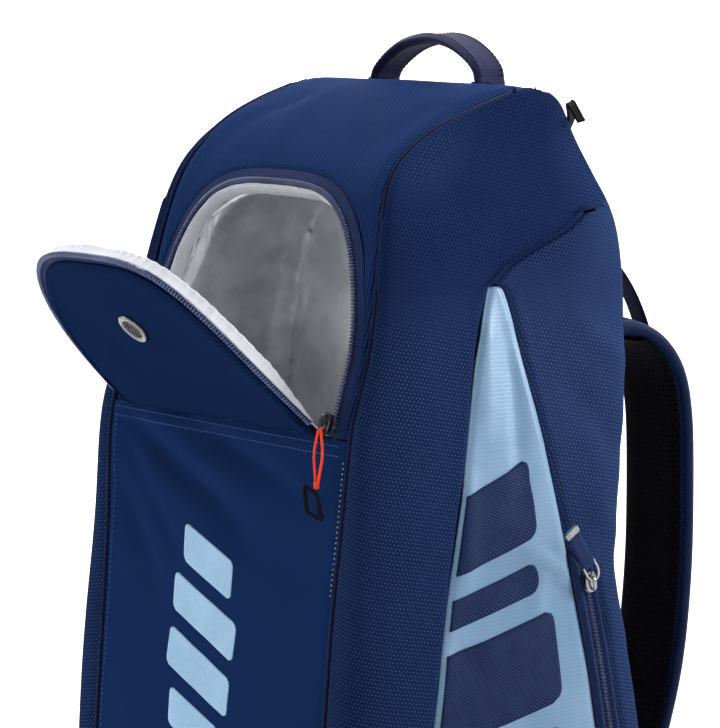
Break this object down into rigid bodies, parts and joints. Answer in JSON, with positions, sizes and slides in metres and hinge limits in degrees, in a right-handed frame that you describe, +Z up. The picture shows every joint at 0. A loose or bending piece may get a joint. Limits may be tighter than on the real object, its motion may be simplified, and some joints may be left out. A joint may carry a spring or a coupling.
{
  "type": "racket backpack",
  "caption": "Tall standing racket backpack with a zipped shoe flap, light-blue side inserts, zipped side pockets, top handle and padded shoulder straps.",
  "frame": {"origin": "middle of the base panel's underside, where the bag stands", "axes": "+Z up the bag; the shoe flap faces -Y and the shoulder straps face +Y; +X is the bag's left when worn, and the flap's zip slider is on that side"},
  "size_m": [0.3744, 0.4244, 0.7837],
  "materials": {
    "navy_twill": "smooth fine twill polyester",
    "navy_mesh": "dotted mesh polyester",
    "light_blue": "sheer light-blue woven polyester",
    "navy_tape": "woven zip tape with a nylon coil",
    "silver_lining": "crinkled silver-coated lining",
    "white_lining": "white coated facing",
    "dark_webbing": "dark woven webbing",
    "black_mesh": "black spacer mesh",
    "base_fabric": "coated dark base fabric",
    "foam_board": "stiff board",
    "black_plastic": "moulded acetal",
    "grey_rubber": "soft moulded rubber",
    "orange_cord": "braided cord",
    "chrome": "polished"
  },
  "bodies": {
    "bag": {"front_panel": "navy_twill", "strap_yoke": "navy_twill", "webbing_anchor_right": "navy_twill", "webbing_anchor_left": "navy_twill", "lifter_anchor_right": "navy_twill", "lifter_anchor_left": "navy_twill", "hood_panel": "navy_mesh", "back_panel": "navy_mesh", "side_front_right": "navy_mesh", "side_front_left": "navy_mesh", "side_rear_right": "navy_mesh", "side_rear_left": "navy_mesh", "side_insert_right": "light_blue", "side_insert_left": "light_blue", "side_zip_right": "navy_tape", "side_zip_left": "navy_tape", "mouth_zip": "navy_tape", "main_zip": "navy_tape", "shoe_liner": "silver_lining", "handle_anchor_right": "dark_webbing", "handle_anchor_left": "dark_webbing", "load_lifter_right": "dark_webbing", "load_lifter_left": "dark_webbing", "back_pad": "black_mesh", "base_panel": "base_fabric", "base_board": "foam_board", "back_board": "foam_board", "racket_divider": "foam_board"},
    "flap": {"flap_shell": "navy_twill", "flap_lining": "white_lining", "flap_zip": "navy_tape", "vent_ring": "chrome", "vent_mesh": "black_mesh"},
    "shoe_slider": {"shoe_zip_slider": "black_plastic"},
    "shoe_pull": {"shoe_zip_cord": "orange_cord", "shoe_zip_grip": "grey_rubber"},
    "main_slider": {"main_zip_slider": "black_plastic"},
    "main_pull": {"main_zip_tab": "grey_rubber"},
    "handle": {"top_handle": "dark_webbing"},
    "side_slider_right": {"side_zip_slider_right": "chrome"},
    "side_pull_right": {"side_zip_pull_right": "dark_webbing"},
    "strap_right": {"strap_pad_right": "navy_mesh", "strap_lining_right": "black_mesh", "ladder_lock_right": "black_plastic"},
    "webbing_right": {"lower_webbing_right": "dark_webbing"},
    "side_slider_left": {"side_zip_slider_left": "chrome"},
    "side_pull_left": {"side_zip_pull_left": "dark_webbing"},
    "strap_left": {"strap_pad_left": "navy_mesh", "strap_lining_left": "black_mesh", "ladder_lock_left": "black_plastic"},
    "webbing_left": {"lower_webbing_left": "dark_webbing"}
  },
  "joints": [
    {"name": "flap_hinge", "type": "hinge", "parent": "bag", "child": "flap", "pos_m": [0, -0.114, 0.5265], "axis": [1, 0, 0], "range_deg": [-57.5, 104]},
    {"name": "shoe_zip_slide", "type": "slide", "parent": "bag", "child": "shoe_slider", "axis": [0, 0.2969, 0.9549], "range_m": [0, 0.034]},
    {"name": "shoe_pull_swing", "type": "hinge", "parent": "shoe_slider", "child": "shoe_pull", "pos_m": [0.1275, -0.12468, 0.53401], "axis": [1, 0, 0], "range_deg": [-150, 0]},
    {"name": "main_zip_slide", "type": "slide", "parent": "bag", "child": "main_slider", "axis": [-1, 0, 0], "range_m": [0, 0.14]},
    {"name": "main_pull_swing", "type": "hinge", "parent": "main_slider", "child": "main_pull", "pos_m": [0.078, 0.10959, 0.70534], "axis": [0, -0.4646, 0.8855], "range_deg": [0, 120]},
    {"name": "handle_fold", "type": "hinge", "parent": "bag", "child": "handle", "pos_m": [0, 0.066, 0.7535], "axis": [1, 0, 0], "range_deg": [-12, 12]},
    {"name": "side_zip_slide_right", "type": "slide", "parent": "bag", "child": "side_slider_right", "axis": [0.0138, 0.1709, -0.9852], "range_m": [0, 0.22]},
    {"name": "side_pull_swing_right", "type": "hinge", "parent": "side_slider_right", "child": "side_pull_right", "pos_m": [0.1761, 0.06596, 0.42395], "axis": [0, 0.7904, 0.6126], "range_deg": [0, 150]},
    {"name": "side_zip_slide_left", "type": "slide", "parent": "bag", "child": "side_slider_left", "axis": [-0.0138, 0.1709, -0.9852], "range_m": [0, 0.22]},
    {"name": "side_pull_swing_left", "type": "hinge", "parent": "side_slider_left", "child": "side_pull_left", "pos_m": [-0.1761, 0.06596, 0.42395], "axis": [0, -0.7904, -0.6126], "range_deg": [0, 150]},
    {"name": "strap_swing_right", "type": "hinge", "parent": "bag", "child": "strap_right", "pos_m": [0.0925, 0.1275, 0.586], "axis": [1, 0, 0], "range_deg": [0, 8]},
    {"name": "lower_webbing_swing_right", "type": "hinge", "parent": "bag", "child": "webbing_right", "pos_m": [0.0925, 0.1471, 0.0715], "axis": [1, 0, 0], "range_deg": [-19.2, 0]},
    {"name": "strap_swing_left", "type": "hinge", "parent": "bag", "child": "strap_left", "pos_m": [-0.0925, 0.1275, 0.586], "axis": [1, 0, 0], "range_deg": [0, 8]},
    {"name": "lower_webbing_swing_left", "type": "hinge", "parent": "bag", "child": "webbing_left", "pos_m": [-0.0925, 0.1471, 0.0715], "axis": [1, 0, 0], "range_deg": [-19.2, 0]}
  ],
  "couplings": [
    {"joint": "lower_webbing_swing_right", "follows": "strap_swing_right", "ratio": -2.4},
    {"joint": "lower_webbing_swing_left", "follows": "strap_swing_left", "ratio": -2.4}
  ]
}
